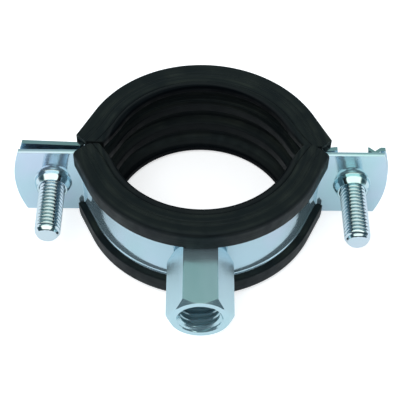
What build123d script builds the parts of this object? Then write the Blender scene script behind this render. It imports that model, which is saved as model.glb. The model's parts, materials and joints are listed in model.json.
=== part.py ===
"""Rubber lined pipe clamp: two sprung steel half bands, each with a ribbed rubber lining,
held by two M6 screws, with a welded M10 hexagon boss for hanging it from a threaded rod.

Millimetres, +Z along the pipe axis. The origin is the middle of the pipe bore. The boss points
to -Y, the screws run along Y with their tips to -Y, and the halves part on the XZ plane.
"""
import os
from math import cos, radians, sin, tan

from build123d import *

# --- lining: one rubber profile of U section, clipped over the two edges of the strip -----------
RIM_R = 21.15             # bore: inside of the two rims, which grip the pipe first
RIM_W = 2.4               # width of each rim
RIB_DROP = 0.85           # the tips of the two ribs stand this far back from the rims
RIB_Z = 3.5               # height of each rib over the middle
RIB_W = 2.8               # width of each rib
GROOVE_DEPTH = 3.05       # from the rims to the bottom of the grooves
BACKING = 1.15            # rubber behind the grooves
WEB_T = 1.45              # rubber over the edges of the strip
LIP_T = 1.6               # rubber outside the strip
LIP_CORNER = 0.9          # slant across the outer corners
LIP_TO_BOSS = 0.5         # the lips stop this far above and below the flats of the boss
LIP_GAP = 1.0             # they end this far from the face of each ear
WEB_TRIM = 35.0           # degrees of the slanting cut across each end of the webs
WEB_TRIM_IN = 0.3         # that cut starts this far inside the lips' outer corners
LINING_CLEARANCE = 0.05   # between rubber and steel
LINING_GAP = 0.25         # each half's rubber stops this far from the parting plane

# --- strip: both half bands are pressed from one steel strip ------------------------------------
STRIP_W = 20.7            # width of the strip, along the pipe
STRIP_T = 1.1             # thickness
CHANNEL_DEPTH = 0.5       # the middle of the strip is pressed inward by this
CHANNEL_SLOPE = 0.55      # width of the channel's sloping sides
CHANNEL_INNER = 0.96      # widths inside the channel against those outside
LIP_TO_CHANNEL = 0.15     # flat steel that shows between a lip and the channel
ARC_SHIFT = 2.35          # each arc's centre lies this far beyond the parting plane (no pipe in)
RUN_OUT = 26.0            # degrees at each end of a half ring that run out straight to the bend
BEND_R = 0.8              # inside radius of the bend between the ring and an ear

# --- ears, and the screws' places on them --------------------------------------------------------
FRONT_EAR_FACE = 2.0      # outer face of the front ears, from the parting plane
REAR_EAR_FACE = 1.3       # the same for the rear ears
REAR_EAR_SPLAY = 1.2      # degrees that the rear ears lean away from the front ears
EAR_REACH = 16.8          # from the band to the furthest point of the rounded ear end
EAR_END_R = 31.0          # radius of the rounded ear end
HINGE_REACH = 7.9         # from the band to the left screw, on which the rear half swings
LATCH_REACH = 8.7         # from the band to the right screw, which the slotted ear hooks over

# --- screws and what they pass through -----------------------------------------------------------
SCREW_R = 3.0             # M6, over the thread
SCREW_LENGTH = 20.5       # from the underside of the head to the tip
SCREW_TIP_R = 2.15
SCREW_TIP_CHAMFER = 1.3
HEAD_R = 5.0
HEAD_H = 2.8
HEAD_TOP_R = 3.6
HEAD_EDGE_H = 1.8         # from the underside to where the head starts to narrow
DRIVE_W = 1.2             # width of the cross drive's arms
DRIVE_R = 2.6
DRIVE_DEPTH = 1.9
THREAD_CLEARANCE = 0.06   # between a screw and its threaded collar
REAR_HOLE_R = 3.5         # plain hole and slot in the rear ears
LEFT_SLACK = 1.2          # from the rear ears' face to the head of the left screw, turned back
RIGHT_SLACK = 0.2         # the same for the right screw
COLLAR_BASE_R = 4.8       # pulled-through collar on a front ear
COLLAR_R = 3.5
COLLAR_H = 2.6
COLLAR_FLARE = 2.1        # length of the cone down to that radius
LATCH_OPEN = 14.0         # degrees of the slot's arc, from the screw to beyond the open edge
LATCH_LIP_H = 2.1         # depth of the slotted ear's lips, down from the edge of the strip
LATCH_LIPS = (            # from the right screw along the ear, and lean of the top edge there
    (-6.8, 0.0), (-3.8, 0.45), (2.6, 0.2), (3.85, -0.95), (5.2, 0.15), (8.7, 0.15),
)

# --- hexagon boss --------------------------------------------------------------------------------
BOSS_AF = 13.0            # across flats
BOSS_LENGTH = 16.0
BOSS_EDGE = 0.4           # the chamfers start this far inside the flats
BOSS_CHAMFER = 42.0       # degrees
BOSS_SINK = 0.15          # the band is flattened by this under the boss
BOSS_BORE_R = 4.25        # M10 tapping size
BOSS_MOUTH_R = 5.15
BOSS_FLOOR = 2.0          # steel left between the bore and the root
WELD_R = 5.2              # weld nib that closes the gap between the flat root and the band
WELD_DEPTH = 0.8

# --- how the slack rear half sits on its screws ---------------------------------------------------
REAR_SIDE_PLAY = 0.5      # mm to the right
REAR_SKEW = -0.3          # degrees about Z
REAR_SWING = 0.75         # degrees about the left screw, right ear down

# --- worked out from the sizes above ---------------------------------------------------------------
FLOOR_R = RIM_R + GROOVE_DEPTH
CHANNEL_R = FLOOR_R + BACKING + LINING_CLEARANCE + STRIP_T    # outside of the strip's channel
BAND_R = CHANNEL_R + CHANNEL_DEPTH                            # outside of the strip's edges
LIP_R = BAND_R + LINING_CLEARANCE + LIP_T
LINING_H = STRIP_W + 2 * (LINING_CLEARANCE + WEB_T)
LIP_END_Z = BOSS_AF / 2 + LIP_TO_BOSS
CHANNEL_HALF = LIP_END_Z - LIP_TO_CHANNEL - CHANNEL_SLOPE
EAR_END_X = BAND_R + EAR_REACH
HINGE_X = -BAND_R - HINGE_REACH
LATCH_X = BAND_R + LATCH_REACH
BOSS_ROOT_Y = ARC_SHIFT - CHANNEL_R + BOSS_SINK
BOSS_END_Y = BOSS_ROOT_Y - BOSS_LENGTH
HINGE_AXIS = Axis((HINGE_X, 0, 0), (0, 1, 0))
CUT = 2 * LIP_R           # cutting solids reach at least this far, past every piece


def y_cylinder(x, radius, y_from=-CUT, y_to=CUT):
    """A cylinder along Y, by default long enough to cut through everything."""
    disc = Plane(origin=(x, y_from, 0), x_dir=(1, 0, 0), z_dir=(0, 1, 0)) * Circle(radius)
    return extrude(disc, y_to - y_from)


def half_ring(points, run):
    """Carries a section of (radius, z) points round the front arc and straight on at both ends."""
    outward = Vector(-cos(radians(RUN_OUT)), -sin(radians(RUN_OUT)))
    onward = Vector(-sin(radians(RUN_OUT)), cos(radians(RUN_OUT)))
    plane = Plane(origin=(0, ARC_SHIFT, 0), x_dir=outward, z_dir=onward)
    section = plane * make_face(Polyline(*points, close=True))
    arc = revolve(section, Axis((0, ARC_SHIFT, 0), (0, 0, 1)), 180 - 2 * RUN_OUT)
    straight = extrude(section, run)
    return arc + straight + mirror(straight, Plane.YZ)


def run_to(radius, y):
    """Length of the left straight end, and its x, where its face of that radius reaches y."""
    run = (y - ARC_SHIFT) / cos(radians(RUN_OUT)) + radius * tan(radians(RUN_OUT))
    return run, -radius * cos(radians(RUN_OUT)) - run * sin(radians(RUN_OUT))


def strip_section():
    """Section of the strip in the ring: flat edges and a shallow channel between them."""
    edge_z = STRIP_W / 2
    outer = [
        (BAND_R, edge_z),
        (BAND_R, CHANNEL_HALF + CHANNEL_SLOPE),
        (CHANNEL_R, CHANNEL_HALF),
    ]
    outer += [(r, -z) for r, z in reversed(outer)]
    inner = [(r - STRIP_T, z * CHANNEL_INNER if abs(z) < edge_z else z) for r, z in reversed(outer)]
    return outer + inner


def bend_centre(ear_face, splay):
    """Centre of the left bend, which touches the ring from outside and the ear's outer face, and
    the length of the straight run up to it."""
    y = -ear_face - BEND_R * cos(radians(splay))
    run, x = run_to(BAND_R + BEND_R, y)
    return x, y, run


def left_ear(ear_face, splay):
    """The left ear with its bend, as a strip standing on the XY plane, its end rounded."""
    x, y, _ = bend_centre(ear_face, splay)
    ring_side = Vector(cos(radians(RUN_OUT)), sin(radians(RUN_OUT)))
    ear_side = Vector(-sin(radians(splay)), cos(radians(splay)))
    along = Vector(-cos(radians(splay)), -sin(radians(splay))) * EAR_END_X
    centre = Vector(x, y)
    middle = (ring_side + ear_side).normalized()
    near, far = BEND_R, BEND_R + STRIP_T
    outline = [
        ThreePointArc(centre + ring_side * near, centre + middle * near, centre + ear_side * near),
        Line(centre + ear_side * near, centre + ear_side * near + along),
        Line(centre + ear_side * near + along, centre + ear_side * far + along),
        Line(centre + ear_side * far + along, centre + ear_side * far),
        ThreePointArc(centre + ear_side * far, centre + middle * far, centre + ring_side * far),
        Line(centre + ring_side * far, centre + ring_side * near),
    ]
    ear = extrude(make_face(outline), STRIP_W / 2, both=True)
    return ear & y_cylinder(EAR_END_R - EAR_END_X, EAR_END_R)


def plain_band(ear_face, splay):
    """A half band bulging to -Y: the half ring and two mirrored ears, no holes yet."""
    ring = half_ring(strip_section(), bend_centre(ear_face, splay)[2])
    ear = left_ear(ear_face, splay)
    return ring + ear + mirror(ear, Plane.YZ)


def collar(x):
    """A collar pulled out of a front ear: it flares at its root and takes the M6 thread."""
    face = -FRONT_EAR_FACE
    section = Polyline(
        (0, face),
        (COLLAR_BASE_R, face),
        (COLLAR_R, face - COLLAR_FLARE),
        (COLLAR_R, face - COLLAR_H),
        (0, face - COLLAR_H),
        close=True,
    )
    return Pos(x, 0, 0) * revolve(make_face(section), Axis.Y)


def front_band():
    band = plain_band(FRONT_EAR_FACE, 0)
    for x in (HINGE_X, LATCH_X):
        band += collar(x)
        band -= y_cylinder(x, SCREW_R + THREAD_CLEARANCE)
    return band


def latch_slot():
    """Slot through the right rear ear: an arc about the left screw, open at the top edge."""
    reach = LATCH_X - HINGE_X
    plane = Plane(origin=(HINGE_X, -CUT, 0), x_dir=(1, 0, 0), z_dir=(0, 1, 0))
    ring = Circle(reach + REAR_HOLE_R) - Circle(reach - REAR_HOLE_R)
    far = 2 * reach
    wedge = make_face(Polyline(
        (0, 0), (far, 0), (far, -far * tan(radians(LATCH_OPEN))), close=True))
    return extrude(plane * (ring & wedge), 2 * CUT) + y_cylinder(LATCH_X, REAR_HOLE_R)


def latch_lips():
    """Top of the slotted ear: lips beside the slot's mouth lean back to guide the screw in."""
    bend_x, bend_y, _ = bend_centre(REAR_EAR_FACE, REAR_EAR_SPLAY)
    thick = STRIP_T / cos(radians(REAR_EAR_SPLAY))
    top = STRIP_W / 2
    levels = ((top - LATCH_LIP_H, 0), (top, 1))
    sections = []
    for z, leaning in levels:
        line = []
        for along, lean in LATCH_LIPS:
            x = LATCH_X + along
            ear_y = REAR_EAR_FACE - thick + tan(radians(REAR_EAR_SPLAY)) * (x + bend_x)
            line.append((x, ear_y + lean * leaning))
        outer = [(x, y + thick) for x, y in reversed(line)]
        sections.append(Pos(0, 0, z) * make_face(Polyline(*line, *outer, close=True)))
    return loft(sections, ruled=True) & y_cylinder(EAR_END_X - EAR_END_R, EAR_END_R)


def rear_band():
    band = mirror(plain_band(REAR_EAR_FACE, REAR_EAR_SPLAY), Plane.XZ)
    corner = (Align.MIN, Align.CENTER, Align.MIN)
    lips_at = Pos(LATCH_X + LATCH_LIPS[0][0], 0, STRIP_W / 2 - LATCH_LIP_H)
    band -= lips_at * Box(CUT, CUT, CUT, align=corner)
    band += latch_lips()
    band = skewed(band)
    band -= y_cylinder(HINGE_X, REAR_HOLE_R)
    band -= latch_slot()
    return swung(band)


def skewed(shape):
    """Sets a rear piece askew by the play its slack screws leave it."""
    return Pos(REAR_SIDE_PLAY, 0, 0) * Rot(0, 0, REAR_SKEW) * shape


def swung(shape):
    """Swings a rear piece about the left screw, right ear down."""
    return shape.rotate(HINGE_AXIS, REAR_SWING)


def lining_section():
    """The lining's U section: rims, two ribs, webs over the strip's edges, and lips."""
    half = LINING_H / 2
    back = CHANNEL_R - STRIP_T - LINING_CLEARANCE
    slot = STRIP_W / 2 + LINING_CLEARANCE
    rib_r = RIM_R + RIB_DROP
    upper = [
        (FLOOR_R, RIB_Z - RIB_W / 2),
        (rib_r, RIB_Z - RIB_W / 2),
        (rib_r, RIB_Z + RIB_W / 2),
        (FLOOR_R, RIB_Z + RIB_W / 2),
        (FLOOR_R, half - RIM_W),
        (RIM_R, half - RIM_W),
        (RIM_R, half),
        (LIP_R - LIP_CORNER, half),
        (LIP_R, half - LIP_CORNER),
        (LIP_R, LIP_END_Z),
        (BAND_R + LINING_CLEARANCE, LIP_END_Z),
        (BAND_R + LINING_CLEARANCE, slot),
        (back, slot),
    ]
    return upper + [(r, -z) for r, z in reversed(upper)]


def lining(ear_face):
    """One lining bulging to -Y, its lips cut short of the ears and its webs cut on the slant."""
    run = run_to(LIP_R, 0)[0]
    body = half_ring(lining_section(), run)
    beyond = (Align.CENTER, Align.MIN, Align.CENTER)
    body -= Pos(0, -LINING_GAP, 0) * Box(2 * CUT, CUT, CUT, align=beyond)
    lip_end = -ear_face - LIP_GAP
    slot_h = STRIP_W + 2 * LINING_CLEARANCE
    near_ear = Pos(0, lip_end, 0) * Box(2 * CUT, CUT, slot_h, align=beyond)
    inner_r = BAND_R - STRIP_T - LINING_CLEARANCE
    inside = half_ring([(0, CUT), (inner_r, CUT), (inner_r, -CUT), (0, -CUT)], run)
    trim_at = Pos(run_to(LIP_R, lip_end)[1] + WEB_TRIM_IN, lip_end, 0) * Rot(0, 0, WEB_TRIM)
    trim = trim_at * Box(2 * CUT, CUT, CUT, align=beyond)
    for cutter in (near_ear, trim, mirror(trim, Plane.YZ)):
        body -= cutter - inside
    return body


def front_lining():
    return lining(FRONT_EAR_FACE)


def rear_lining():
    return swung(skewed(mirror(lining(REAR_EAR_FACE), Plane.XZ)))


def hex_boss(band):
    """Hexagon bar tapped M10, both ends chamfered, its root welded to the band."""
    hexagon = RegularPolygon(BOSS_AF / 2, 6, major_radius=False)
    plane = Plane(origin=(0, BOSS_ROOT_Y, 0), x_dir=(1, 0, 0), z_dir=(0, -1, 0))
    boss = extrude(plane * hexagon, BOSS_LENGTH)
    face_r = BOSS_AF / 2 - BOSS_EDGE
    over = BOSS_AF * 0.58     # just outside the corners
    rise = (over - face_r) * tan(radians(BOSS_CHAMFER))
    turned = Polyline(
        (0, BOSS_END_Y),
        (face_r, BOSS_END_Y),
        (over, BOSS_END_Y + rise),
        (over, BOSS_ROOT_Y - rise),
        (face_r, BOSS_ROOT_Y),
        (0, BOSS_ROOT_Y),
        close=True,
    )
    boss &= revolve(make_face(turned), Axis.Y)
    boss += y_cylinder(0, WELD_R, BOSS_ROOT_Y - BOSS_FLOOR / 2, BOSS_ROOT_Y + WELD_DEPTH)
    bore = Polyline(
        (0, BOSS_END_Y),
        (BOSS_MOUTH_R, BOSS_END_Y),
        (BOSS_BORE_R, BOSS_END_Y + BOSS_MOUTH_R - BOSS_BORE_R),
        (BOSS_BORE_R, BOSS_ROOT_Y - BOSS_FLOOR),
        (0, BOSS_ROOT_Y - BOSS_FLOOR),
        close=True,
    )
    return boss - revolve(make_face(bore), Axis.Y) - band


def screw(x, slack):
    """M6 screw along Y: low head with a cross drive, chamfered tip."""
    under = REAR_EAR_FACE + slack
    tip = under - SCREW_LENGTH
    top = under + HEAD_H
    outline = Polyline(
        (0, tip),
        (SCREW_TIP_R, tip),
        (SCREW_R, tip + SCREW_TIP_CHAMFER),
        (SCREW_R, under),
        (HEAD_R, under),
        (HEAD_R, under + HEAD_EDGE_H),
        (HEAD_TOP_R, top),
        (0, top),
        close=True,
    )
    body = revolve(make_face(outline), Axis.Y)
    drive = Box(2 * DRIVE_R, 2 * DRIVE_DEPTH, DRIVE_W) + Box(DRIVE_W, 2 * DRIVE_DEPTH, 2 * DRIVE_R)
    return Pos(x, 0, 0) * (body - Pos(0, top, 0) * drive)


os.makedirs("parts", exist_ok=True)
front = front_band()
parts = {
    "front_band": front,
    "rear_band": rear_band(),
    "front_lining": front_lining(),
    "rear_lining": rear_lining(),
    "hex_boss": hex_boss(front),
    "left_screw": screw(HINGE_X, LEFT_SLACK),
    "right_screw": screw(LATCH_X, RIGHT_SLACK),
}
for name, shape in parts.items():
    export_step(shape, f"parts/{name}.step")
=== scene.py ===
"""Rubber lined pipe clamp: the finish of its steel and rubber, its threads and moulded lining.

Metres, +Z along the pipe. The boss points to -Y and the screws' tips point to -Y too.
"""
import json
from math import cos, pi, radians, sin, tan

import bmesh
import bpy
import numpy as np
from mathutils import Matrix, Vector


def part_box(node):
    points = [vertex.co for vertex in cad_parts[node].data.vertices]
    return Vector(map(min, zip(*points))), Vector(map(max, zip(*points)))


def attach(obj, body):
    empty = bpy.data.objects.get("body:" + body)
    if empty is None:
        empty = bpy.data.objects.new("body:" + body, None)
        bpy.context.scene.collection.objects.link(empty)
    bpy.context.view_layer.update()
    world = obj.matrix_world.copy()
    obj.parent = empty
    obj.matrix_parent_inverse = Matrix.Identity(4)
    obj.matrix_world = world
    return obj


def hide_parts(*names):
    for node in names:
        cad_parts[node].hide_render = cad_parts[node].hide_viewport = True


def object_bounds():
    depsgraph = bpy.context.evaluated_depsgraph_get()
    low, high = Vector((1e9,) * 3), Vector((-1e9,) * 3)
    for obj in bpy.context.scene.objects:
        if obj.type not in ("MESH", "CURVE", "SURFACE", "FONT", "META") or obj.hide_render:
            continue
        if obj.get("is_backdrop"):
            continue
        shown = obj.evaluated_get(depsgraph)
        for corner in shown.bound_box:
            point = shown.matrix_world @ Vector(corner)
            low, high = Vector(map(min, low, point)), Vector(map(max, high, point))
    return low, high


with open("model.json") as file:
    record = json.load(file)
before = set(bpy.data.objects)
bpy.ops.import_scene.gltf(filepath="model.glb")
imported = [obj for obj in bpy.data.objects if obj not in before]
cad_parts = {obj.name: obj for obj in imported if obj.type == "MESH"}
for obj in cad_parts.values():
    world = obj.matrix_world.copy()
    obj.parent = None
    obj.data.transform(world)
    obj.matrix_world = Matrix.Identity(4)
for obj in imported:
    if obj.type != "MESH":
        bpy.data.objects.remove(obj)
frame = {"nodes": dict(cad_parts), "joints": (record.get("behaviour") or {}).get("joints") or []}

cad_low, cad_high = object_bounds()
scene = bpy.context.scene

# ---------------------------------------------------------------------------------------------
# Camera: a long lens about a quarter of a metre away, looking down over the boss at the bore,
# with the ears about level across the picture.
# ---------------------------------------------------------------------------------------------
camera = bpy.data.objects.new("camera", bpy.data.cameras.new("camera"))
scene.collection.objects.link(camera)
scene.camera = camera
camera.location = (-0.00137, -0.16287, 0.19501)
camera.rotation_euler = (radians(38.6089), radians(-0.5701), radians(0.2734))
camera.data.sensor_width = 36.0
camera.data.lens = 96.24
camera.data.clip_start = 0.01
camera.data.clip_end = 20.0


# ---------------------------------------------------------------------------------------------
# Studio: a white floor that catches a soft shadow, in a white surround. What the zinc mirrors is
# dark towards the front up to a height, a broad soft light above that, and dim green-grey behind.
# ---------------------------------------------------------------------------------------------
scene.view_settings.view_transform = "Standard"


def nodes_of(tree):
    """Empties a node tree and gives its nodes and a function that links two sockets."""
    tree.nodes.clear()
    return tree.nodes, tree.links.new


def add(nodes, kind, **settings):
    """A new node of that kind with those attributes set."""
    node = nodes.new(kind)
    for name, value in settings.items():
        setattr(node, name, value)
    return node


def ramp(nodes, link, source, low, high, low_value=0.0, high_value=1.0):
    """Maps a value from low..high to low_value..high_value, held at both ends."""
    node = add(nodes, "ShaderNodeMapRange")
    for title, value in (("From Min", low), ("From Max", high),
                         ("To Min", low_value), ("To Max", high_value)):
        node.inputs[title].default_value = value
    link(source, node.inputs["Value"])
    return node.outputs[0]


def mix(nodes, link, factor, a, b):
    """A colour mix; each of a and b is a colour or a socket."""
    node = add(nodes, "ShaderNodeMix", data_type="RGBA")
    link(factor, node.inputs["Factor"])
    for title, value in (("A", a), ("B", b)):
        if isinstance(value, tuple):
            node.inputs[title].default_value = (*value, 1)
        else:
            link(value, node.inputs[title])
    return node.outputs["Result"]


world = bpy.data.worlds.new("studio")
scene.world = world
world.use_nodes = True
nodes, link = nodes_of(world.node_tree)
direction = add(nodes, "ShaderNodeTexCoord")
axes = add(nodes, "ShaderNodeSeparateXYZ")
link(direction.outputs["Generated"], axes.inputs[0])
in_front = add(nodes, "ShaderNodeValToRGB")
behind = add(nodes, "ShaderNodeValToRGB")
for sky, stops in (
        (in_front, ((0.00, (0.03, 0.06, 0.08)), (0.57, (0.04, 0.08, 0.09)),
                    (0.68, (1.70, 1.70, 1.50)), (1.00, (1.50, 1.55, 1.38)))),
        (behind, ((0.00, (0.95, 1.0, 1.0)), (0.15, (0.80, 0.95, 0.95)),
                  (0.40, (0.30, 0.44, 0.42)), (0.85, (0.26, 0.38, 0.34)),
                  (0.95, (0.90, 1.00, 0.88)), (1.00, (1.30, 1.38, 1.20))))):
    link(axes.outputs["Z"], sky.inputs[0])
    points = sky.color_ramp.elements
    while len(points) < len(stops):
        points.new(0.5)
    for point, (height, colour) in zip(points, stops):
        point.position, point.color = height, (*colour, 1)
backward = ramp(nodes, link, axes.outputs["Y"], -0.05, 0.25)
mirrored = mix(nodes, link, backward, in_front.outputs["Color"], behind.outputs["Color"])
path = add(nodes, "ShaderNodeLightPath").outputs
lit = mix(nodes, link, path["Is Glossy Ray"], (0.75, 0.78, 0.80), mirrored)
seen = mix(nodes, link, path["Is Camera Ray"], lit, (1, 1, 1))
surround = add(nodes, "ShaderNodeBackground")
link(seen, surround.inputs["Color"])
world_out = add(nodes, "ShaderNodeOutputWorld")
link(surround.outputs[0], world_out.inputs["Surface"])

KEY_PLACE = Vector((-0.15, -0.25, 0.55))
key_lamp = bpy.data.lights.new("key", "AREA")
key_lamp.size, key_lamp.energy = 0.30, 1.0
key = bpy.data.objects.new("key", key_lamp)
scene.collection.objects.link(key)
key.location = KEY_PLACE
key.rotation_euler = (-KEY_PLACE).to_track_quat("-Z", "Y").to_euler()
key.visible_glossy = False

floor_mesh = bpy.data.meshes.new("floor")
FLOOR_HALF, FLOOR_FRONT, FLOOR_BACK, FLOOR_GAP = 0.6, -0.095, 1.0, 0.0002
floor_z = cad_low.z - FLOOR_GAP
floor_mesh.from_pydata([(-FLOOR_HALF, FLOOR_FRONT, floor_z), (FLOOR_HALF, FLOOR_FRONT, floor_z),
                        (FLOOR_HALF, FLOOR_BACK, floor_z), (-FLOOR_HALF, FLOOR_BACK, floor_z)],
                       [], [(0, 1, 2, 3)])
floor = bpy.data.objects.new("floor", floor_mesh)
scene.collection.objects.link(floor)
floor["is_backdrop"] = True
paper = bpy.data.materials.new("white_paper")
paper.use_nodes = True
nodes, link = nodes_of(paper.node_tree)
matt = add(nodes, "ShaderNodeBsdfDiffuse")
matt.inputs["Color"].default_value = (0.80, 0.83, 0.85, 1)
glow = add(nodes, "ShaderNodeEmission")
glow.inputs["Color"].default_value = (1, 1, 1, 1)
path = add(nodes, "ShaderNodeLightPath").outputs
as_seen = add(nodes, "ShaderNodeMath", operation="MULTIPLY")
as_seen.inputs[1].default_value = 0.62
link(path["Is Camera Ray"], as_seen.inputs[0])
as_mirrored = add(nodes, "ShaderNodeMath", operation="MULTIPLY_ADD")
as_mirrored.inputs[1].default_value = 0.22
link(path["Is Glossy Ray"], as_mirrored.inputs[0])
link(as_seen.outputs[0], as_mirrored.inputs[2])
link(as_mirrored.outputs[0], glow.inputs["Strength"])
both = add(nodes, "ShaderNodeAddShader")
link(matt.outputs[0], both.inputs[0])
link(glow.outputs[0], both.inputs[1])
paper_out = add(nodes, "ShaderNodeOutputMaterial")
link(both.outputs[0], paper_out.inputs["Surface"])
floor_mesh.materials.append(paper)


# ---------------------------------------------------------------------------------------------
# Front and rear band: pressed from zinc plated strip with a channel along the middle and ears
# bent outwards, plated with a faint violet and green bloom and a cloudy shine. The threaded
# collars drawn up from the front ears are turned here as pieces of their own.
# ---------------------------------------------------------------------------------------------
MM = 0.001
ARC_SHIFT, RUN_OUT = 2.35, radians(26)
BAND_R, STRIP_T, STRIP_HALF, CHANNEL_DEPTH = 27.0, 1.1, 10.35, 0.5
FRONT_EAR_FACE, BEND_R, EAR_END_X, EAR_END_R, EAR_HOLE_R = 2.0, 0.8, 43.8, 31.0, 3.3
CHANNEL_HALF, SHOULDER, CHANNEL_FADE = 6.4, 0.5, 3.0
COLLAR_BASE_R, COLLAR_R, COLLAR_H, COLLAR_BORE_R = 4.45, 3.55, 2.35, 3.06
COLLAR_NECK_R, COLLAR_SEAT, COLLAR_BREAK = 3.45, 0.02, 0.12
VIOLET_BLOOM, GREEN_BLOOM = (0.62, 0.70, 0.88), (0.46, 0.72, 0.75)


def group(name, inputs, outputs):
    """An empty shader node group with those sockets: (name, kind, default) and (name, kind)."""
    tree = bpy.data.node_groups.new(name, "ShaderNodeTree")
    for title, kind, default in inputs:
        socket = tree.interface.new_socket(title, in_out="INPUT", socket_type=kind)
        socket.default_value = default
    for title, kind in outputs:
        tree.interface.new_socket(title, in_out="OUTPUT", socket_type=kind)
    return tree, tree.nodes.new("NodeGroupInput"), tree.nodes.new("NodeGroupOutput")


def noise(nodes, link, where, scale, detail=2.0):
    """A noise value at those coordinates, about scale patches to the metre."""
    node = add(nodes, "ShaderNodeTexNoise")
    node.inputs["Scale"].default_value = scale
    node.inputs["Detail"].default_value = detail
    link(where, node.inputs["Vector"])
    return node.outputs["Fac"]


def times(nodes, link, a, b):
    """The product of two values."""
    node = add(nodes, "ShaderNodeMath", operation="MULTIPLY")
    link(a, node.inputs[0])
    link(b, node.inputs[1])
    return node.outputs[0]


def zinc_plate_group():
    """Zinc plate: violet and green bloom over the tint, fine marks, and a cloudy roughness."""
    tree, given, result = group(
        "zinc_plate",
        [("Vector", "NodeSocketVector", (0, 0, 0)),
         ("Tint", "NodeSocketColor", (0.6, 0.74, 0.82, 1)),
         ("Bloom", "NodeSocketFloat", 0.5),
         ("Roughness", "NodeSocketFloat", 0.25)],
        [("Color", "NodeSocketColor"), ("Roughness", "NodeSocketFloat"),
         ("Height", "NodeSocketFloat")])
    nodes, link = tree.nodes, tree.links.new
    where = given.outputs["Vector"]
    colour = given.outputs["Tint"]
    for scale, thin, full, bloom in ((70.0, 0.48, 0.68, VIOLET_BLOOM),
                                     (45.0, 0.50, 0.72, GREEN_BLOOM)):
        patches = ramp(nodes, link, noise(nodes, link, where, scale), thin, full)
        strength = times(nodes, link, patches, given.outputs["Bloom"])
        colour = mix(nodes, link, strength, colour, bloom)
    fine = noise(nodes, link, where, 1400.0, 3.0)
    cloud = ramp(nodes, link, noise(nodes, link, where, 260.0, 3.0), 0.3, 0.7, 0.75, 1.35)
    rough = times(nodes, link, cloud, given.outputs["Roughness"])
    link(colour, result.inputs["Color"])
    link(rough, result.inputs["Roughness"])
    link(fine, result.inputs["Height"])
    return tree


zinc_plate = zinc_plate_group()


def zinc_material(name, tint, bloom, roughness, stretch, bright=1.0):
    """A zinc plated metal; stretch is the scale of the marks along X, Y and Z, and bright is the
    share that mirrors, as the rest of the plating is milky."""
    material = bpy.data.materials.new(name)
    material.use_nodes = True
    nodes, link = nodes_of(material.node_tree)
    place = add(nodes, "ShaderNodeTexCoord")
    mapping = add(nodes, "ShaderNodeMapping")
    mapping.inputs["Scale"].default_value = stretch
    link(place.outputs["Object"], mapping.inputs["Vector"])
    plate = add(nodes, "ShaderNodeGroup", node_tree=zinc_plate)
    link(mapping.outputs[0], plate.inputs["Vector"])
    plate.inputs["Tint"].default_value = (*tint, 1)
    plate.inputs["Bloom"].default_value = bloom
    plate.inputs["Roughness"].default_value = roughness
    bump = add(nodes, "ShaderNodeBump")
    bump.inputs["Strength"].default_value = 0.12
    bump.inputs["Distance"].default_value = 0.00002
    link(plate.outputs["Height"], bump.inputs["Height"])
    metal = add(nodes, "ShaderNodeBsdfPrincipled")
    metal.inputs["Metallic"].default_value = bright
    metal.inputs["Specular IOR Level"].default_value = 0.5
    link(plate.outputs["Color"], metal.inputs["Base Color"])
    link(plate.outputs["Roughness"], metal.inputs["Roughness"])
    link(bump.outputs[0], metal.inputs["Normal"])
    out = add(nodes, "ShaderNodeOutputMaterial")
    link(metal.outputs[0], out.inputs["Surface"])
    return material


def rounded(points):
    """A line through (a, b, radius) corners, each rounded by a quadratic curve that starts and
    ends one radius from the corner; a corner of radius 0 stays sharp."""
    points = np.array(points, float)
    line = [points[0, :2]]
    t = np.linspace(0, 1, 5)[:, None]
    for before, (a, b, radius), after in zip(points[:-2], points[1:-1], points[2:]):
        corner = np.array((a, b))
        if radius == 0:
            line.append(corner)
            continue
        back, ahead = before[:2] - corner, after[:2] - corner
        start = corner + back / np.linalg.norm(back) * radius
        end = corner + ahead / np.linalg.norm(ahead) * radius
        line.extend((1 - t) ** 2 * start + 2 * t * (1 - t) * corner + t ** 2 * end)
    line.append(points[-1, :2])
    return np.array(line)


def mesh_piece(name, points, quads, smooth_angle=30.0):
    """A mesh object from points in millimetres and quads, with doubles merged, faces turned
    outwards, and edges sharper than the angle kept sharp."""
    mesh = bpy.data.meshes.new(name)
    mesh.from_pydata((points * MM).tolist(), [], quads.tolist())
    work = bmesh.new()
    work.from_mesh(mesh)
    bmesh.ops.remove_doubles(work, verts=work.verts, dist=1e-7)
    bmesh.ops.dissolve_degenerate(work, dist=1e-7, edges=work.edges)
    bmesh.ops.recalc_face_normals(work, faces=work.faces)
    work.to_mesh(mesh)
    work.free()
    mesh.shade_smooth()
    mesh.set_sharp_from_angle(angle=radians(smooth_angle))
    piece = bpy.data.objects.new(name, mesh)
    scene.collection.objects.link(piece)
    return piece


def grid_quads(rows, columns, close_rows=False, close_columns=False):
    """Quads of a rows by columns grid of points, joined round the ends where asked."""
    r = np.arange(rows if close_rows else rows - 1)[:, None]
    c = np.arange(columns if close_columns else columns - 1)[None, :]
    r2, c2 = (r + 1) % rows, (c + 1) % columns
    corners = [r * columns + c, r * columns + c2, r2 * columns + c2, r2 * columns + c]
    return np.stack([k + 0 * (r + c) for k in corners], -1).reshape(-1, 4)


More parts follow.
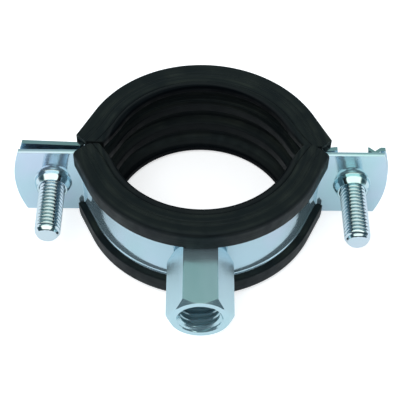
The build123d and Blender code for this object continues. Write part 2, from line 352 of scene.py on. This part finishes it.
def strip_outline(channel):
    """Depth below the outer face, and height, once round the strip's section. Between rounded
    shoulders the channel is dished: d = channel (0.6 + 1.1 (1 - (z / half)^2))."""
    side = [(0, STRIP_HALF - 0.15, 0.08), (0, CHANNEL_HALF + SHOULDER, 0.15),
            (channel * 0.6, CHANNEL_HALF, 0.3)]
    side += [(channel * (0.6 + 1.1 * (1 - (z / CHANNEL_HALF) ** 2)), z, 0.4)
             for z in (5.0, 3.6, 2.2, 0.8)]
    side += [(d, -z, r) for d, z, r in reversed(side)]
    back = [(STRIP_T, -STRIP_HALF, 0.12), (STRIP_T, -6.65, 0.2), (STRIP_T + channel, -6.05, 0.2)]
    back += [(d, -z, r) for d, z, r in reversed(back)]
    middle = (STRIP_T / 2, STRIP_HALF, 0)
    return rounded([middle] + side + back + [middle])[:-1]


def front_band_points():
    """Carries the section from the middle of the arc along the straight end, round the bend and
    out to the end of the ear, whose half height there is that of a circle: h = sqrt(R^2 - x^2).
    The channel fades out over the last of the straight end, and the left side is mirrored."""
    swing = np.linspace(0, pi / 2 - RUN_OUT, 49)
    arc_out = np.stack([-np.sin(swing), -np.cos(swing)], 1)
    arc = BAND_R * arc_out + (0, ARC_SHIFT)
    bend_y = -FRONT_EAR_FACE - BEND_R
    run = (bend_y - ARC_SHIFT) / cos(RUN_OUT) + (BAND_R + BEND_R) * tan(RUN_OUT)
    straight = arc[-1] + np.linspace(0, run, 19)[1:, None] * (-sin(RUN_OUT), cos(RUN_OUT))
    straight_out = np.repeat(arc_out[-1:], len(straight), 0)
    turn = np.linspace(RUN_OUT, pi / 2, 11)[1:]
    bend_out = -np.stack([np.cos(turn), np.sin(turn)], 1)
    bend = straight[-1] + BEND_R * (straight_out[-1] - bend_out)
    round_end = np.linspace(np.arcsin(STRIP_HALF / EAR_END_R), 0, 30)
    far = EAR_END_X - EAR_END_R + EAR_END_R * np.cos(round_end)
    ear_x = np.concatenate([np.linspace(-bend[-1, 0], far[0], 12)[1:-1], far])
    ear = np.stack([-ear_x, -FRONT_EAR_FACE + 0 * ear_x], 1)
    ear_out = np.repeat(bend_out[-1:], len(ear), 0)
    path = np.concatenate([arc, straight, bend, ear])
    out = np.concatenate([arc_out, straight_out, bend_out, ear_out])
    tall = np.ones(len(path))
    tall[-len(far):] = EAR_END_R * np.sin(round_end) / STRIP_HALF
    deep = np.ones(len(path))
    deep[len(arc):-len(ear) - len(bend)] = np.clip(
        np.linspace(run, 0, len(straight)) / CHANNEL_FADE, 0, 1)
    deep[-len(ear) - len(bend):] = 0
    plain, channelled = strip_outline(0.0), strip_outline(CHANNEL_DEPTH)
    section = plain + deep[:, None, None] * (channelled - plain)
    depth, height = section[..., 0], section[..., 1] * tall[:, None]
    xy = path[:, None] - out[:, None] * depth[..., None]
    left = np.concatenate([xy, height[..., None]], -1)
    points = np.concatenate([left[::-1], left[1:] * (-1, 1, 1)])
    return points.reshape(-1, 3), grid_quads(len(points), len(plain), close_columns=True)


def turned_points(x, outline, columns=96):
    """A closed outline of (radius, y) turned about a line along Y at that x."""
    turn = np.arange(columns)[None, :] / columns * 2 * pi
    r, y = outline[:, 0, None], outline[:, 1, None]
    points = np.stack([x + r * np.cos(turn), y + 0 * turn, r * np.sin(turn)], -1)
    return points.reshape(-1, 3), grid_quads(len(outline), columns, True, True)


def collar_outline():
    """The collar's section: its neck in the ear's hole, a flared root on the ear's face, a taper
    to the end, and both edges of the end broken."""
    face, end = -FRONT_EAR_FACE, -FRONT_EAR_FACE - COLLAR_H
    back = face + STRIP_T - COLLAR_SEAT
    return rounded([
        (COLLAR_BORE_R, back, 0), (COLLAR_NECK_R, back, 0), (COLLAR_NECK_R, face + 0.3, 0),
        (COLLAR_BASE_R, face + 0.05, 0), (COLLAR_BASE_R, face - 0.01, 0.05),
        (COLLAR_BASE_R - 0.15, face - 0.1, 0.08), (COLLAR_BASE_R - 0.2, face - 0.95, 0.3),
        (COLLAR_R + 0.1, face - 2.05, 0.3), (COLLAR_R, end, COLLAR_BREAK),
        (COLLAR_BORE_R + COLLAR_BREAK, end, 0), (COLLAR_BORE_R, end + COLLAR_BREAK, 0),
        (COLLAR_BORE_R, face, 0),
    ])


strip_zinc = zinc_material("strip_zinc", (0.51, 0.71, 0.81), 0.6, 0.10, (1, 1, 1), 0.80)
rear_zinc = zinc_material("rear_zinc", (0.45, 0.60, 0.66), 0.3, 0.15, (1, 1, 1))
collar_zinc = zinc_material("collar_zinc", (0.60, 0.76, 0.80), 0.4, 0.12, (1, 1, 1))
frame["nodes"]["rear_band"].data.materials.clear()
frame["nodes"]["rear_band"].data.materials.append(rear_zinc)
front_band = mesh_piece("front_band_pressed", *front_band_points())
front_band.data.materials.append(strip_zinc)
hinge, latch = [sum(v.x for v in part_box(f"{side}_screw")) / 2 / MM for side in ("left", "right")]
for x in (hinge, latch):
    drill_outline = np.array([(0, -4), (EAR_HOLE_R, -4), (EAR_HOLE_R, 0), (0, 0)], float)
    drill = mesh_piece("drill", *turned_points(x, drill_outline))
    hole = front_band.modifiers.new("hole", "BOOLEAN")
    hole.object = drill
    bpy.context.view_layer.update()
    drilled = bpy.data.meshes.new_from_object(
        front_band.evaluated_get(bpy.context.evaluated_depsgraph_get()))
    front_band.modifiers.clear()
    front_band.data = drilled
    bpy.data.objects.remove(drill)
front_collars = [mesh_piece(f"{side}_collar_turned", *turned_points(x, collar_outline()))
                 for side, x in (("left", hinge), ("right", latch))]
for collar in front_collars:
    collar.data.materials.append(collar_zinc)
for piece in (front_band, *front_collars):
    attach(piece, "front_half")
    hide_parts("front_band")


# ---------------------------------------------------------------------------------------------
# Linings: one black rubber extrusion of U section in each half, clipped over the strip's edges
# and cut off at the parting plane. Two rims grip the pipe, with two shouldered ribs between them.
# ---------------------------------------------------------------------------------------------
HINGE_X = frame["joints"][0]["pos_m"][0] / MM
REAR_SIDE_PLAY, REAR_SKEW, REAR_SWING = 0.5, radians(-0.3), radians(0.75)
REAR_EAR_FACE, PARTING_GAP = 1.3, 0.25
RIM_R, FLOOR_R, BACK_R, LIP_IN_R, LIP_R = 21.15, 24.2, 25.35, 27.05, 28.65
HALF_H, SLOT_Z, LIP_END_Z = 11.85, 10.4, 7.0
WEB_TRIM, WEB_TRIM_IN, LIP_GAP = radians(35), 0.3, 1.0
LOW_LIP_GAP, LOW_LIP_WEAR = 0.35, 0.45
END_LEAN, LEAN_OVER = 0.9, 7.0
FRONT_LIP_ROUND, REAR_LIP_ROUND = 1.1, 0.45


def lining_outline(lip_round):
    """Radius and height down the visible side of the U, from the top lip's end through the bore
    to the bottom lip's end, and beside it the nearest point of the hidden side."""
    groove = [(FLOOR_R, 0, 0), (FLOOR_R, 1.55, 0.25)]
    rib = [(22.05, 2.35, 0.3), (22.0, 4.5, 0.18), (23.05, 4.72, 0.12), (23.25, 5.15, 0.15)]
    wall = [(FLOOR_R, 5.5, 0.25), (FLOOR_R, 7.9, 0.6)]
    rim = [(RIM_R, 9.95, 0.35), (RIM_R, 11.2, 0.12), (21.45, HALF_H - 0.05, 0.2)]
    mould_lines = [
        (22.65, HALF_H - 0.02, 0.15), (22.9, HALF_H - 0.28, 0.08), (23.15, HALF_H, 0.1),
        (24.75, HALF_H, 0.05), (24.95, HALF_H - 0.14, 0.05), (25.15, HALF_H - 0.02, 0.05),
        (25.75, HALF_H, 0.05), (25.95, HALF_H - 0.12, 0.05), (26.15, HALF_H, 0.05)]
    lip = [(LIP_R, HALF_H, lip_round), (LIP_R, SLOT_Z + 0.01, 0), (LIP_R, SLOT_Z - 0.01, 0),
           (LIP_R, LIP_END_Z, 0.3), (27.9, LIP_END_Z, 0), (LIP_IN_R, LIP_END_Z, 0)]
    upper = rounded(groove + rib + wall + rim + mould_lines + lip)
    visible = np.concatenate([upper[::-1], upper[1:] * (1, -1)])
    hidden = visible.copy()
    outside = visible[:, 0] > LIP_IN_R
    hidden[:, 0] = np.clip(visible[:, 0], BACK_R, LIP_IN_R)
    hidden[:, 1] = np.clip(visible[:, 1], -SLOT_Z, SLOT_Z)
    hidden[outside, 1] = np.clip(visible[outside, 1], -SLOT_Z, SLOT_Z)
    return visible, hidden


def lining_points(ear_face, lip_round, arc=96, straight=24):
    """Carries the outline round the arc and straight on along the tangents at both ends. Every
    outline point has its own end, where it meets the cut: flat in the bore, slanting outwards
    over the webs, and set back from the ear at the lips. Towards the cut the bore side leans
    outwards by the square of the way run, as the rubber is stretched round the bend. The bottom
    lips reach further, almost to the ears, and are worn round."""
    visible, hidden = lining_outline(lip_round)
    loop = np.concatenate([visible, hidden[::-1]])
    r, z = loop[:, 0], loop[:, 1]
    lip_end = -ear_face - LIP_GAP
    trim_x = -LIP_R / cos(RUN_OUT) - (lip_end - ARC_SHIFT) * tan(RUN_OUT) + WEB_TRIM_IN
    flat_x = -r / cos(RUN_OUT) + ARC_SHIFT * tan(RUN_OUT)
    slope = tan(WEB_TRIM)
    trim_y = (lip_end + slope * (flat_x - trim_x)) / (1 + slope * tan(RUN_OUT))
    end_y = np.minimum(-PARTING_GAP, trim_y)
    lip = (r > LIP_IN_R - 0.01) & (np.abs(z) < SLOT_Z - 0.005)
    end_y[lip] = np.minimum(end_y[lip], lip_end)
    low_lip = lip & (z < 0)
    outwards = (r[low_lip] - LIP_IN_R) / (LIP_R - LIP_IN_R)
    end_y[low_lip] = -ear_face - LOW_LIP_GAP - LOW_LIP_WEAR * outwards ** 2
    start_y = ARC_SHIFT - r * sin(RUN_OUT)
    share = np.linspace(0, 1, straight, endpoint=False)[:, None]
    y = end_y + (start_y - end_y) * share
    lean = END_LEAN * np.clip(1 + y / LEAN_OVER, 0, 1) ** 2
    lean = lean * np.clip((LIP_R - r) / (LIP_R - LIP_IN_R), 0, 1)
    lean[:, len(visible):] = 0
    x = -(r / cos(RUN_OUT) + (y - ARC_SHIFT) * tan(RUN_OUT)) - lean
    left = np.stack([x, y, z + 0 * y], -1)
    angle = np.linspace(pi + RUN_OUT, 2 * pi - RUN_OUT, arc)[:, None]
    middle = np.stack([r * np.cos(angle), ARC_SHIFT + r * np.sin(angle), z + 0 * angle], -1)
    points = np.concatenate([left, middle, left[::-1] * (-1, 1, 1)])
    quads = grid_quads(len(points), len(loop), close_columns=True)
    n = len(visible)
    k = np.arange(n - 1)
    cap = np.stack([k, k + 1, 2 * n - 2 - k, 2 * n - 1 - k], -1)
    last = (len(points) - 1) * len(loop)
    return points.reshape(-1, 3), np.concatenate([quads, cap, cap[:, ::-1] + last])


def as_rear(points):
    """Places rear points: mirrored, then askew and swung by the play that the screws leave."""
    x, y, z = points[:, 0], -points[:, 1], points[:, 2]
    x, y = (x * cos(REAR_SKEW) - y * sin(REAR_SKEW) + REAR_SIDE_PLAY,
            x * sin(REAR_SKEW) + y * cos(REAR_SKEW))
    dx = x - HINGE_X
    return np.stack([HINGE_X + dx * cos(REAR_SWING) + z * sin(REAR_SWING), y,
                     -dx * sin(REAR_SWING) + z * cos(REAR_SWING)], 1)


def rubber_material():
    """Black rubber: nearly matt, with streaks of dust drawn along the extrusion. The bore's colour
    is darker than the outside's as painted shade, and less shiny, apart from a painted highlight
    on its rib tips."""
    material = bpy.data.materials.new("lining_rubber_black")
    material.use_nodes = True
    nodes, link = nodes_of(material.node_tree)
    place = add(nodes, "ShaderNodeTexCoord")
    where = place.outputs["Object"]
    axes = add(nodes, "ShaderNodeSeparateXYZ")
    link(where, axes.inputs[0])
    across = add(nodes, "ShaderNodeMath", operation="ABSOLUTE")
    link(axes.outputs["Y"], across.inputs[0])
    shifted = add(nodes, "ShaderNodeMath", operation="ADD")
    shifted.inputs[1].default_value = ARC_SHIFT * MM
    link(across.outputs[0], shifted.inputs[0])
    plan = add(nodes, "ShaderNodeCombineXYZ")
    link(axes.outputs["X"], plan.inputs["X"])
    link(shifted.outputs[0], plan.inputs["Y"])
    radius = add(nodes, "ShaderNodeVectorMath", operation="LENGTH")
    link(plan.outputs[0], radius.inputs[0])
    outside = ramp(nodes, link, radius.outputs["Value"], 0.0218, 0.0232)
    profile = add(nodes, "ShaderNodeCombineXYZ")
    link(radius.outputs["Value"], profile.inputs["X"])
    link(axes.outputs["Z"], profile.inputs["Y"])
    drawn = noise(nodes, link, profile.outputs[0], 1500.0, 2.0)
    patches = ramp(nodes, link, noise(nodes, link, where, 160.0, 4.0), 0.35, 0.65)
    dust = times(nodes, link, patches, ramp(nodes, link, drawn, 0.42, 0.62, 0.15, 1.0))
    outer_rubber = mix(nodes, link, dust, (0.0036, 0.0050, 0.0056), (0.0150, 0.0185, 0.0150))
    # Painted shade: the bore gets darker colours than the outer rubber, standing for the shade
    # inside the ring.
    bore = mix(nodes, link, dust, (0.0008, 0.0014, 0.0023), (0.0034, 0.0046, 0.0056))
    # Painted highlight: the rib tips, about 21.6 to 22.8 mm out, get a lighter colour, as if
    # catching the light.
    inner_edge = ramp(nodes, link, radius.outputs["Value"], 0.0216, 0.0219)
    outer_edge = ramp(nodes, link, radius.outputs["Value"], 0.0223, 0.0228, 1.0, 0.0)
    rib_painted_highlight = times(nodes, link, inner_edge, outer_edge)
    bore = mix(nodes, link, rib_painted_highlight, bore, (0.0110, 0.0130, 0.0140))
    colour = mix(nodes, link, outside, bore, outer_rubber)
    rough = ramp(nodes, link, noise(nodes, link, where, 420.0, 3.0), 0.3, 0.7, 0.42, 0.58)
    bump = add(nodes, "ShaderNodeBump")
    bump.inputs["Strength"].default_value = 0.25
    bump.inputs["Distance"].default_value = 0.00005
    link(drawn, bump.inputs["Height"])
    rubber = add(nodes, "ShaderNodeBsdfPrincipled")
    rubber.inputs["Specular Tint"].default_value = (0.62, 0.84, 1.0, 1)
    link(ramp(nodes, link, outside, 0.0, 1.0, 0.055, 0.19), rubber.inputs["Specular IOR Level"])
    link(colour, rubber.inputs["Base Color"])
    link(rough, rubber.inputs["Roughness"])
    link(bump.outputs[0], rubber.inputs["Normal"])
    out = add(nodes, "ShaderNodeOutputMaterial")
    link(rubber.outputs[0], out.inputs["Surface"])
    return material


rubber = rubber_material()
for side, ear_face, lip_round, place in (
        ("front", FRONT_EAR_FACE, FRONT_LIP_ROUND, None),
        ("rear", REAR_EAR_FACE, REAR_LIP_ROUND, as_rear)):
    points, quads = lining_points(ear_face, lip_round)
    if place:
        points = place(points)
    lining = mesh_piece(f"{side}_lining_profile", points, quads)
    lining.data.materials.append(rubber)
    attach(lining, f"{side}_half")
    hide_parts(f"{side}_lining")


# ---------------------------------------------------------------------------------------------
# Hexagon boss: 13 mm hexagon bar, chamfered at both ends, tapped M10, and welded by a round nib
# to the middle of the front band.
# ---------------------------------------------------------------------------------------------
BOSS_AF, BOSS_FACE_R, BOSS_CORNER_R, BOSS_CHAMFER = 13.0, 6.4, 7.445, radians(47)
BOSS_LENGTH, BOSS_WALL, DRILL_TIP_R = 16.0, 2.0, 4.0
BOSS_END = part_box("hex_boss")[0].y / MM
BOSS_ROOT = BOSS_END + BOSS_LENGTH
NIB_R, NIB_FILLET, NIB_H = 5.1, 0.2, 0.45
THREAD_PITCH, THREAD_MAJOR, THREAD_MINOR, THREAD_MOUTH = 1.5, 5.0, 4.25, 5.15
BORE_TURNS, TURN_STEPS = 11, 14


def thread_height(phase, crest=0.15, root=0.25):
    """Height, 0 at the root to 1 at the crest, of a 60 degree thread at a phase of 0 to 1 turns:
    straight flanks between a narrow crest flat and a wider rounded root."""
    away = np.abs(phase % 1.0 - 0.5) * 2
    flank = np.clip((away - crest) / (1 - crest - root), 0, 1)
    return 1 - (flank + flank ** 2 * (1 - flank) * 0.3)


def boss_points():
    """Rows of (radius, y) round the boss from the bore's bottom out to the weld nib. In the bore
    the radius follows the thread's helix; on the bar it follows the hexagon, whose corners are
    broken by narrow flats."""
    to_flat = np.concatenate([np.linspace(-29.2, 29.2, 25), [30.0]]) * pi / 180
    per_flat = len(to_flat)
    to_flat = np.append(np.tile(to_flat, 6), to_flat[0])
    turn = to_flat + (np.arange(len(to_flat)) // per_flat) * pi / 3 + pi / 2
    columns = len(turn)
    hexagon = np.minimum(BOSS_AF / 2 / np.cos(to_flat), BOSS_CORNER_R)
    rise = (hexagon - BOSS_FACE_R) * tan(BOSS_CHAMFER)
    flat = np.ones(columns)
    bottom = BOSS_ROOT - BOSS_WALL
    rows = [(flat * 0.0, flat * bottom), (flat * DRILL_TIP_R, flat * bottom)]
    for k in range(TURN_STEPS * BORE_TURNS, -TURN_STEPS, -1):
        y = BOSS_END + THREAD_PITCH * (k / TURN_STEPS + turn / (2 * pi))
        y = np.clip(y, BOSS_END, bottom)
        thread = THREAD_MINOR + (THREAD_MAJOR - THREAD_MINOR) * thread_height(k / TURN_STEPS)
        mouth = THREAD_MOUTH - (y - BOSS_END)
        rows.append((np.clip(thread, mouth, THREAD_MINOR + bottom - y), y))
    rows += [
        (flat * BOSS_FACE_R, flat * BOSS_END), (hexagon, BOSS_END + rise),
        (hexagon, BOSS_ROOT - rise), (flat * BOSS_FACE_R, flat * BOSS_ROOT),
        (flat * (NIB_R + NIB_FILLET), flat * BOSS_ROOT),
        (flat * NIB_R, flat * (BOSS_ROOT + NIB_FILLET / 2)),
        (flat * NIB_R, flat * (BOSS_ROOT + NIB_H)), (flat * 0.0, flat * (BOSS_ROOT + NIB_H))]
    radius = np.array([r for r, _ in rows])
    y = np.array([y for _, y in rows])
    points = np.stack([radius * np.cos(turn), y, radius * np.sin(turn)], -1)
    return points.reshape(-1, 3), grid_quads(len(rows), columns)


boss_zinc = zinc_material("boss_zinc", (0.50, 0.71, 0.79), 0.4, 0.19, (1, 0.3, 1), 0.85)
boss = mesh_piece("hex_boss_tapped", *boss_points(), smooth_angle=29.0)
boss.data.materials.append(boss_zinc)
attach(boss, "front_half")
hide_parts("hex_boss")


# ---------------------------------------------------------------------------------------------
# Screws: two zinc plated M6 screws with rolled threads and chamfered tips, turned part of the
# way into the front ears' collars, with low rounded cross-drive heads behind the rear ears.
# ---------------------------------------------------------------------------------------------
SCREW_PITCH, SCREW_R, SCREW_ROOT_R = 1.0, 3.0, 2.42
SCREW_LENGTH, UNDERCUT, NECK_R = 20.5, 0.3, 2.9
HEAD_R, HEAD_H, HEAD_EDGE_H, HEAD_TOP_R, DRIVE_RIM_R = 5.0, 2.8, 1.9, 3.6, 2.8
TIP_R, TIP_ROUND, TIP_CHAMFER = 2.15, 0.25, 1.3
DRIVE_HALF, DRIVE_REACH, DRIVE_DEPTH, DRIVE_TAPER, DRIVE_CONE = 0.6, 2.6, 1.9, 0.62, 0.2


def screw_points(x, tip_y, start, columns=73):
    """Rows of (radius, y) round a screw from the middle of its tip to the bottom of the cross
    drive in its head. The shank follows the thread's helix inside the envelope of the chamfered
    tip, and start is the thread's turn in rows. In the drive the radius follows a cross:
    r = min(reach / cos a, half width / |sin a|), a being the angle from the nearest arm. The
    columns 15 degrees from each arm are moved onto the arm's corners."""
    turn = np.linspace(0, 2 * pi, columns)
    from_arm = (turn + pi / 4) % (pi / 2) - pi / 4
    arm_corner = np.arctan2(DRIVE_HALF, DRIVE_REACH)
    at_corner = np.isclose(np.abs(from_arm), radians(15))
    turn = turn + at_corner * np.sign(from_arm) * (arm_corner - radians(15))
    from_arm = np.abs((turn + pi / 4) % (pi / 2) - pi / 4)
    cross = np.minimum(DRIVE_REACH / np.cos(from_arm),
                       DRIVE_HALF / np.maximum(np.sin(from_arm), 0.01))
    flat = np.ones(columns)
    under = tip_y + SCREW_LENGTH
    rows = [(flat * 0.0, flat * tip_y), (flat * (TIP_R - TIP_ROUND), flat * tip_y)]
    last = under - UNDERCUT
    for k in range(-TURN_STEPS, int(SCREW_LENGTH / SCREW_PITCH * TURN_STEPS)):
        y = tip_y + SCREW_PITCH * (k / TURN_STEPS + turn / (2 * pi))
        y = np.clip(y, tip_y, last)
        height = thread_height((k + start) / TURN_STEPS, crest=0.20, root=0.12)
        thread = SCREW_ROOT_R + (SCREW_R - SCREW_ROOT_R) * height
        thread = np.minimum(thread, SCREW_ROOT_R + last - y)
        into = (y - tip_y) / TIP_CHAMFER
        envelope = TIP_R + (SCREW_R - TIP_R) * np.clip(into, 0, 1) ** 0.8
        envelope = np.minimum(envelope, TIP_R - 0.2 + (y - tip_y) * 3)
        rows.append((np.minimum(thread, envelope), y))
    top = under + HEAD_H
    head = rounded([(NECK_R, under, 0), (HEAD_R, under, 0.12), (HEAD_R, under + HEAD_EDGE_H, 0.6),
                    (HEAD_TOP_R, top, 0.7), (DRIVE_RIM_R, top, 0)])
    rows += [(flat * r, flat * y) for r, y in head]
    rows += [(cross, flat * top), (cross * DRIVE_TAPER, flat * (top - DRIVE_DEPTH)),
             (flat * 0.0, flat * (top - DRIVE_DEPTH - DRIVE_CONE))]
    radius = np.array([r for r, _ in rows])
    y = np.array([y for _, y in rows])
    points = np.stack([x + radius * np.cos(turn), y, radius * np.sin(turn)], -1)
    return points.reshape(-1, 3), grid_quads(len(rows), columns)


screw_zinc = zinc_material("screw_zinc", (0.62, 0.74, 0.80), 0.3, 0.13, (1, 1, 1))
for side, start in (("left", 1), ("right", 8)):
    low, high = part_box(f"{side}_screw")
    x = (low.x + high.x) / 2 / MM
    screw = mesh_piece(f"{side}_screw_threaded", *screw_points(x, low.y / MM, start),
                       smooth_angle=50.0)
    screw.data.materials.append(screw_zinc)
    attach(screw, f"{side}_screw")
    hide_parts(f"{side}_screw")


# ---------------------------------------------------------------------------------------------
# Sizes: the box round what shows is taken at the end, beside the box round the solids taken
# after the import.
# ---------------------------------------------------------------------------------------------
low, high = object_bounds()
